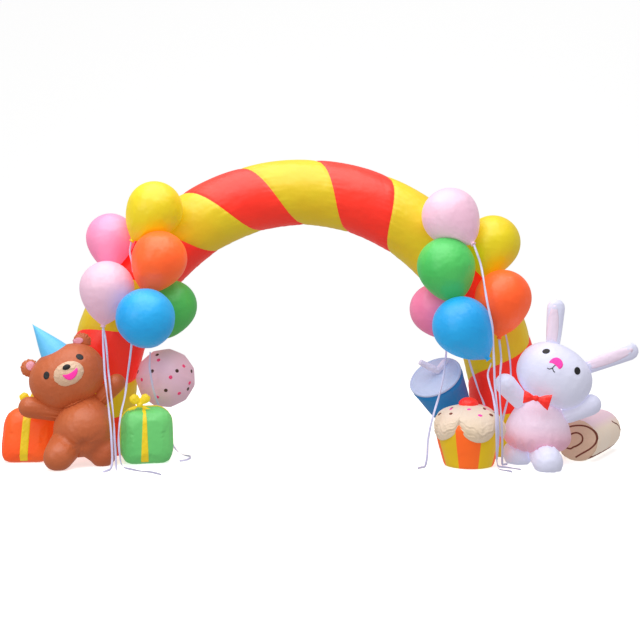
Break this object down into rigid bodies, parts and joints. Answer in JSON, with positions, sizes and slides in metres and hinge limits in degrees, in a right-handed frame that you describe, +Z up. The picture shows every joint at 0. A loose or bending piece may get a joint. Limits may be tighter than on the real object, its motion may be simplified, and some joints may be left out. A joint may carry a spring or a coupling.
{
  "type": "inflatable party arch",
  "caption": "Inflatable walk-through arch with a two-colour spiral tube, side balloons with hanging ribbons, a bear, a rabbit, gift boxes and soft cakes at its feet.",
  "frame": {"origin": "middle of the whole model's box, on the floor", "axes": "+X to the right as seen from the front, +Z up, the front faces -Y"},
  "size_m": [5.073, 1.3647, 2.4386],
  "materials": {
    "red": "polyester taffeta, soft sheen",
    "ball_pink": "smooth coated polyester, soft sheen",
    "blue": "smooth coated polyester, soft sheen",
    "blush": "smooth coated polyester, soft sheen",
    "green": "smooth coated polyester, soft sheen",
    "orange": "smooth coated polyester, soft sheen",
    "pink": "smooth coated polyester, soft sheen",
    "yellow": "smooth coated polyester, soft sheen",
    "brown": "smooth coated polyester, soft sheen",
    "hat_blue": "smooth coated polyester, soft sheen",
    "cream": "smooth coated polyester, soft sheen",
    "nose_black": "smooth coated polyester, soft sheen",
    "cake_tan": "smooth coated polyester, soft sheen",
    "cup_blue": "smooth coated polyester, soft sheen",
    "lid_white": "smooth coated polyester, soft sheen",
    "white": "smooth coated polyester, soft sheen",
    "case_orange": "smooth coated polyester, soft sheen",
    "bow_red": "smooth coated polyester, soft sheen",
    "icing": "smooth coated polyester, soft sheen",
    "gift_green": "smooth coated polyester, soft sheen",
    "ribbon_yellow": "smooth coated polyester, soft sheen",
    "gift_orange": "smooth coated polyester, soft sheen",
    "dress_pink": "smooth coated polyester, soft sheen",
    "ribbon_white": "smooth coated polyester, soft sheen"
  },
  "bodies": {
    "root": {"arch_tube": "red", "ball_spotted": "ball_pink", "balloon_left_blue": "blue", "balloon_left_blush": "blush", "balloon_left_green": "green", "balloon_left_orange": "orange", "balloon_left_pink": "pink", "balloon_left_yellow": "yellow", "balloon_right_blue": "blue", "balloon_right_blush": "blush", "balloon_right_green": "green", "balloon_right_orange": "orange", "balloon_right_pink": "pink", "balloon_right_yellow": "yellow", "bear_arm_left": "brown", "bear_arm_right": "brown", "bear_body": "brown", "bear_ear_left": "brown", "bear_ear_right": "brown", "bear_hat": "hat_blue", "bear_head": "brown", "bear_muzzle": "cream", "bear_nose": "nose_black", "cake_roll": "cake_tan", "cup_body": "cup_blue", "cup_lid": "lid_white", "cup_straw": "white", "cupcake_case": "case_orange", "cupcake_cherry": "bow_red", "cupcake_icing": "icing", "gift_green": "gift_green", "gift_green_band": "ribbon_yellow", "gift_green_bow": "ribbon_yellow", "gift_orange": "gift_orange", "gift_orange_band": "ribbon_yellow", "gift_orange_bow": "ribbon_yellow", "rabbit_arm_left": "white", "rabbit_arm_right": "white", "rabbit_bow": "bow_red", "rabbit_dress": "dress_pink", "rabbit_ear_left": "white", "rabbit_ear_right": "white", "rabbit_head": "white", "rabbit_leg_left": "white", "rabbit_leg_right": "white", "ribbon_left_blue": "ribbon_white", "ribbon_left_blush": "ribbon_white", "ribbon_left_orange": "ribbon_white", "ribbon_left_pink": "ribbon_white", "ribbon_left_yellow": "ribbon_white", "ribbon_right_blue": "ribbon_white", "ribbon_right_blush": "ribbon_white", "ribbon_right_green": "ribbon_white", "ribbon_right_orange": "ribbon_white", "ribbon_right_pink": "ribbon_white", "ribbon_right_yellow": "ribbon_white"}
  },
  "joints": []
}
